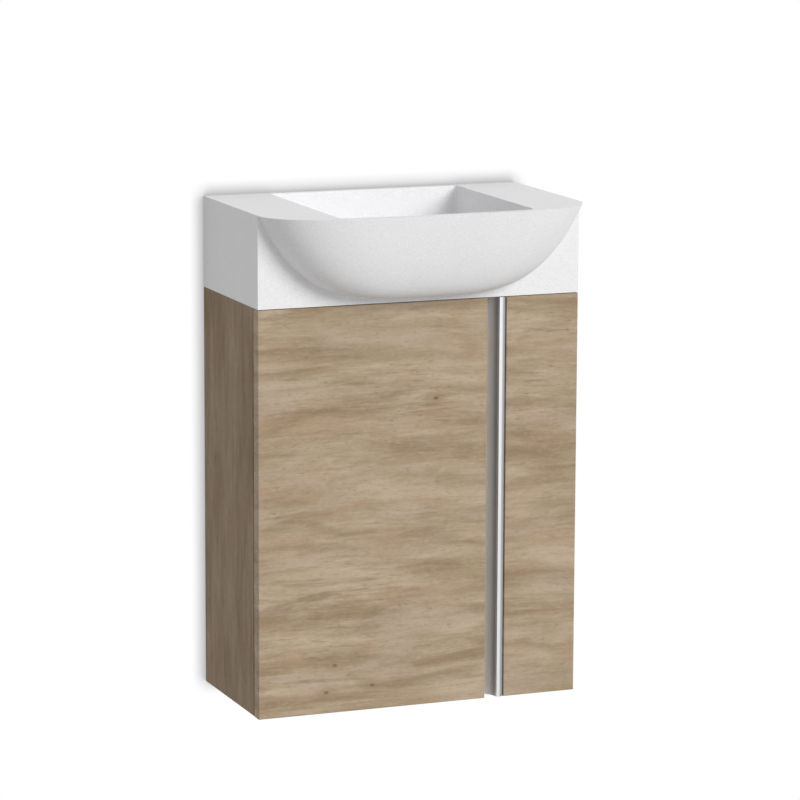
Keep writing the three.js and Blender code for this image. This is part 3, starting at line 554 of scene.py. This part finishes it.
def bowl_mesh():
    def place(u, v):
        share = SMALLEST_SHARE + (1 - SMALLEST_SHARE) * v
        x, y = swell_point(math.pi * u, share)
        return Vector((x, y, Z_KEEL + (Z_TOP - Z_KEEL) * share ** 4))

    bm = mapped_grid(BOWL_STEPS, BOWL_LEVELS, place)
    rim = [e for e in bm.edges if e.is_boundary]
    back = bmesh.ops.extrude_edge_only(bm, edges=rim)["geom"]
    for vert in (g for g in back if isinstance(g, bmesh.types.BMVert)):
        vert.co.y = Y_FRONT + BOWL_BURY
    bmesh.ops.remove_doubles(bm, verts=bm.verts, dist=WELD)
    cap_open_ends(bm)
    return bm


def trough_plan(inwards, z, corner_steps=8, front_steps=48):
    half = X_SIDE - SIDE_DECK - inwards
    rear = -REAR_RIM - inwards
    radius = TROUGH_CORNER

    def front_at(x):
        return Y_FRONT - swell_at(x, z) + FRONT_RIM + inwards

    def corner(cx, cy, start):
        angles = [start + QUARTER * i / corner_steps for i in range(corner_steps + 1)]
        return [(cx + radius * math.cos(a), cy + radius * math.sin(a)) for a in angles]

    low = front_at(half - radius) + radius
    spread = [(half - radius) * (-1 + 2 * i / front_steps) for i in range(front_steps + 1)]
    return (
        corner(-half + radius, low, 2 * QUARTER)[:-1]
        + [(x, front_at(x)) for x in spread]
        + corner(half - radius, low, -QUARTER)[1:]
        + corner(half - radius, rear - radius, 0)
        + corner(-half + radius, rear - radius, QUARTER)
    )


def trough_mesh(round_steps=10):
    rings = [(trough_plan(0, Z_TOP), Z_TOP + OVERRUN), (trough_plan(0, Z_TOP), Z_TOP - TROUGH_FLARE)]
    for i in range(round_steps + 1):
        angle = QUARTER * i / round_steps
        inwards = TROUGH_DRAFT + FLOOR_ROUND * (1 - math.cos(angle))
        z = Z_FLOOR + FLOOR_ROUND * (1 - math.sin(angle))
        rings.append((trough_plan(inwards, z), z))
    dish = []
    for x, y in rings[-1][0]:
        away = math.atan2(y - Y_WASTE, x)
        dish.append((DISH_RADIUS * math.cos(away), Y_WASTE + DISH_RADIUS * math.sin(away)))
    rings.append((dish, Z_DISH))
    count = len(dish)

    def place(u, v):
        plan, z = rings[round(v * (len(rings) - 1))]
        x, y = plan[round(u * count) % count]
        return Vector((x, y, z))

    bm = mapped_grid(count, len(rings) - 1, place, closed=True)
    cap_open_ends(bm)
    return bm


def upright_prism(plan, low, high):
    count = len(plan)

    def place(u, v):
        x, y = plan[round(u * count) % count]
        return Vector((x, y, low + (high - low) * v))

    bm = mapped_grid(count, 1, place, closed=True)
    cap_open_ends(bm)
    return bm


def round_edges(made, chosen, offset, segments):
    bm = bmesh.new()
    bm.from_mesh(made.data)
    edges = [e for e in bm.edges if len(e.link_faces) == 2 and chosen(e)]
    bmesh.ops.bevel(
        bm,
        geom=edges,
        offset=offset,
        offset_type="OFFSET",
        segments=segments,
        profile=0.5,
        affect="EDGES",
        clamp_overlap=True,
        material=-1,
    )
    bm.to_mesh(made.data)
    bm.free()


def tidy_flats(made):
    """Joins the faces that a cut left in one plane."""
    bm = bmesh.new()
    bm.from_mesh(made.data)
    bmesh.ops.remove_doubles(bm, verts=bm.verts, dist=2 * WELD)
    bmesh.ops.dissolve_limit(
        bm, angle_limit=math.radians(0.2), use_dissolve_boundaries=False, verts=bm.verts, edges=bm.edges
    )
    bm.to_mesh(made.data)
    bm.free()


def pocket_mesh():
    """The hollow under the basin, which leaves a wall all round the trough."""
    low = (-X_SIDE + POCKET_WALL, Y_FRONT + POCKET_WALL, Z_SEAT - OVERRUN)
    high = (X_SIDE - POCKET_WALL, -POCKET_REAR, Z_TOP - DECK)
    pocket = object_from("pocket", box_mesh(low, high))
    body = upright_prism(trough_plan(-TROUGH_WALL, Z_TOP), Z_UNDERSIDE, Z_TOP)
    cut_or_join(pocket, "DIFFERENCE", body)
    bm = bmesh.new()
    bm.from_mesh(pocket.data)
    bpy.data.objects.remove(pocket)
    return bm


def disc_mesh(radius, low, high, centre, steps=96):
    return turned_mesh([(0, low), (radius, low), (radius, high), (0, high)], centre, steps)


def stud_bore(side):
    bm = disc_mesh(STUD_HOLE_RADIUS, -POCKET_REAR - OVERRUN, OVERRUN, (0, 0), 48)
    bmesh.ops.transform(bm, matrix=Matrix.Rotation(-QUARTER, 4, "X"), verts=bm.verts)
    bmesh.ops.translate(bm, vec=(side * (X_SIDE - STUD_FROM_SIDE), 0, 0), verts=bm.verts)
    return bm


def at_top(edge):
    sharp = edge.calc_face_angle(0) > math.radians(SHARP_ANGLE)
    return sharp and all(abs(v.co.z - Z_TOP) < ON_TOP for v in edge.verts)


def on_outside(edge):
    return all(abs(abs(v.co.x) - X_SIDE) < ON_SIDE or v.co.y < Y_FRONT + ON_SIDE for v in edge.verts)


def off_the_wall(edge):
    return not any(v.co.y > -ON_SIDE for v in edge.verts)


def basin():
    made = object_from("basin_casting", box_mesh((-X_SIDE, Y_FRONT, Z_SEAT), (X_SIDE, 0, Z_TOP)))
    waste = (0, Y_WASTE)
    cut_or_join(made, "UNION", bowl_mesh())
    cut_or_join(made, "DIFFERENCE", pocket_mesh())
    cut_or_join(made, "DIFFERENCE", trough_mesh())
    cut_or_join(made, "DIFFERENCE", disc_mesh(DRAIN_RECESS_RADIUS, Z_WASTE_SEAT, Z_DISH + OVERRUN, waste))
    cut_or_join(made, "DIFFERENCE", disc_mesh(DRAIN_HOLE_RADIUS, Z_UNDERSIDE - OVERRUN, Z_DISH, waste))
    for side in (-1, 1):
        cut_or_join(made, "DIFFERENCE", stud_bore(side))
    tidy_flats(made)
    round_edges(made, lambda e: at_top(e) and on_outside(e), RIM_ROUND, 5)
    round_edges(made, lambda e: at_top(e) and off_the_wall(e), TROUGH_FLARE, 4)
    shade(made, SHARP_ANGLE)
    keep(made, "cast_mineral", "mineral", "cabinet", "basin")


basin()


# Handle channel: the profile's middle line, run up as a sheet and given its wall
Y_CARCASS = channel_high.y - SCOOP_DEPTH


def curve_points(corners, steps):
    """Points of the Bezier curve on four corners."""
    line = []
    for i in range(steps + 1):
        t = i / steps
        shares = ((1 - t) ** 3, 3 * t * (1 - t) ** 2, 3 * t * t * (1 - t), t ** 3)
        line.append(sum((Vector(c) * s for c, s in zip(corners, shares)), Vector((0, 0))))
    return line


def run_up(bm, line, low, high):
    """Runs a line of (x, y) places up from low to high as a sheet."""
    corners = [bm.verts.new((x, y, low)) for x, y in line]
    edges = [bm.edges.new(pair) for pair in zip(corners, corners[1:])]
    grown = bmesh.ops.extrude_edge_only(bm, edges=edges)["geom"]
    top = [g for g in grown if isinstance(g, bmesh.types.BMVert)]
    bmesh.ops.translate(bm, vec=(0, 0, high - low), verts=top)


def handle_channel():
    half = CHANNEL_WALL / 2
    right = X_LIP + LIP_WIDTH - half
    start = (door_high.x - GRIP_REACH, Y_CARCASS + SCOOP_DEPTH - half)
    end = (X_LIP + half, Y_FRONT + half)
    scoop = curve_points(
        (start, (start[0] + SCOOP_SWEEP, start[1]), (end[0], end[1] + SCOOP_STEEPNESS), end), 72
    )
    crest = (X_LIP + LIP_WIDTH * 0.42, Y_FRONT + half)
    shoulder = (right, Y_FRONT + half + LIP_FALL)
    lip = curve_points((crest, (right - 2 * MM, crest[1]), (right, crest[1] + 0.6 * MM), shoulder), 14)
    flange = [Vector((right, Y_CARCASS - half)), Vector((channel_high.x, Y_CARCASS - half))]
    foot = [(X_LIP, Y_CARCASS - half), (right - half, Y_CARCASS - half)]
    bm = bmesh.new()
    for line in (scoop + lip + flange, foot):
        run_up(bm, line, channel_low.z, channel_high.z)
    bmesh.ops.recalc_face_normals(bm, faces=bm.faces)
    made = object_from("handle_profile", bm)
    wall = made.modifiers.new("wall", "SOLIDIFY")
    wall.thickness = CHANNEL_WALL
    wall.offset = 0
    wall.use_even_offset = True
    with bpy.context.temp_override(object=made, active_object=made):
        bpy.ops.object.modifier_apply(modifier=wall.name)
    shade(made, 32)
    keep(made, "aluminium", "aluminium", "cabinet", "handle_channel")


handle_channel()


# Cap of the waste: one polished dome with a turned-in rim, on its stem
CAP_RADIUS = 27 * MM
CAP_RISE = 7 * MM
CAP_THICKNESS = 1.6 * MM
CAP_STEM = 3 * MM


def waste_cap():
    rim = cap_high.z - CAP_RISE

    def dome(radius, base, steps=28):
        return [
            (radius * (1 - i / steps), base + CAP_RISE * math.sin(QUARTER * i / steps))
            for i in range(steps + 1)
        ]

    inner = dome(CAP_RADIUS - CAP_THICKNESS, rim - CAP_THICKNESS)
    under = [point for point in reversed(inner) if point[0] > CAP_STEM]
    lip_round = CAP_THICKNESS / 2
    edge = [
        (CAP_RADIUS - lip_round * (1 - math.cos(a)), rim - lip_round * (1 - math.sin(a)))
        for a in (0, QUARTER / 3, 2 * QUARTER / 3)
    ]
    stem = [(0, cap_low.z), (CAP_STEM, cap_low.z), (CAP_STEM, under[0][1])]
    bm = turned_mesh(stem + under + edge + dome(CAP_RADIUS, rim), (0, Y_WASTE), 128)
    made = object_from("waste_dome", bm)
    shade(made, SHARP_ANGLE)
    keep(made, "chrome", "chrome", "cabinet", "waste_cap")


waste_cap()


# Stage and light. A lamp is its name, power, spread in degrees, and the way that it stands
AMBIENT = 0.41
LAMPS = (("key", 1.98, 28, (0.425, -0.8, 0.423)), ("overhead", 0.42, 50, (0, -0.08, 1)))
STAGE_REACH = 6
WALL_BEHIND = 1.2 * MM
WALL_SHADE_REACH = 20 * MM
FLOOR_DROP = 0.3
Z_GROUND = cad_low.z - FLOOR_DROP


def stage_plane(name, low, high, material):
    bm = bmesh.new()
    bmesh.ops.create_grid(bm, x_segments=1, y_segments=1, size=0.5)
    made = object_from(name, bm)
    made.data.materials.append(material)
    made.location = (Vector(low) + Vector(high)) / 2
    size = Vector(high) - Vector(low)
    made.scale = (size.x, max(size.y, size.z), 1)
    if size.y == 0:
        made.rotation_euler = (QUARTER, 0, 0)


def seen(tree):
    """1 on rays from the camera or off a glossy or clear surface, else 0."""
    path = tree.nodes.new("ShaderNodeLightPath")
    total = path.outputs["Is Camera Ray"]
    for name in ("Is Glossy Ray", "Is Transmission Ray"):
        both = tree.nodes.new("ShaderNodeMath")
        both.operation = "MAXIMUM"
        tree.links.new(total, both.inputs[0])
        tree.links.new(path.outputs[name], both.inputs[1])
        total = both.outputs[0]
    return total


def wall_material():
    """A glowing white wall with painted shade that darkens it close to the object, and that is clear from
    behind.
    """
    material = bpy.data.materials.new("white_wall")
    material.use_nodes = True
    tree = material.node_tree
    tree.nodes.clear()
    out = tree.nodes.new("ShaderNodeOutputMaterial")
    glow = tree.nodes.new("ShaderNodeEmission")
    clear = tree.nodes.new("ShaderNodeBsdfTransparent")
    choose = tree.nodes.new("ShaderNodeMixShader")
    side = tree.nodes.new("ShaderNodeNewGeometry")
    # Painted shade: ambient occlusion dims the wall's glow near the object
    near = tree.nodes.new("ShaderNodeAmbientOcclusion")
    near.inputs["Distance"].default_value = WALL_SHADE_REACH
    level = tree.nodes.new("ShaderNodeMapRange")
    level.inputs["To Min"].default_value = AMBIENT
    tree.links.new(seen(tree), level.inputs["Value"])
    tree.links.new(near.outputs["AO"], level.inputs["To Max"])
    tree.links.new(level.outputs["Result"], glow.inputs["Strength"])
    tree.links.new(side.outputs["Backfacing"], choose.inputs["Fac"])
    tree.links.new(glow.outputs[0], choose.inputs[1])
    tree.links.new(clear.outputs[0], choose.inputs[2])
    tree.links.new(choose.outputs[0], out.inputs["Surface"])
    return material


def floor_material():
    material = bpy.data.materials.new("pale_floor")
    material.use_nodes = True
    shader = material.node_tree.nodes["Principled BSDF"]
    shader.inputs["Base Color"].default_value = (0.6, 0.6, 0.6, 1)
    shader.inputs["Roughness"].default_value = 0.9
    return material


stage_plane(
    "wall",
    (-STAGE_REACH, WALL_BEHIND, Z_GROUND),
    (STAGE_REACH, WALL_BEHIND, STAGE_REACH),
    wall_material(),
)
stage_plane(
    "floor",
    (-STAGE_REACH, -STAGE_REACH, Z_GROUND),
    (STAGE_REACH, STAGE_REACH, Z_GROUND),
    floor_material(),
)


def light():
    world = bpy.data.worlds.new("studio")
    world.use_nodes = True
    bpy.context.scene.world = world
    tree = world.node_tree
    background = tree.nodes["Background"]
    background.inputs["Color"].default_value = (1, 1, 1, 1)
    level = tree.nodes.new("ShaderNodeMapRange")
    level.inputs["To Min"].default_value = AMBIENT
    tree.links.new(seen(tree), level.inputs["Value"])
    tree.links.new(level.outputs["Result"], background.inputs["Strength"])
    for name, power, spread, towards in LAMPS:
        data = bpy.data.lights.new(name, "SUN")
        data.energy = power
        data.angle = math.radians(spread)
        lamp = bpy.data.objects.new(name, data)
        lamp.rotation_mode = "QUATERNION"
        lamp.rotation_quaternion = Vector(towards).to_track_quat("Z", "Y")
        bpy.context.collection.objects.link(lamp)


light()
bpy.context.scene.view_settings.view_transform = "Standard"
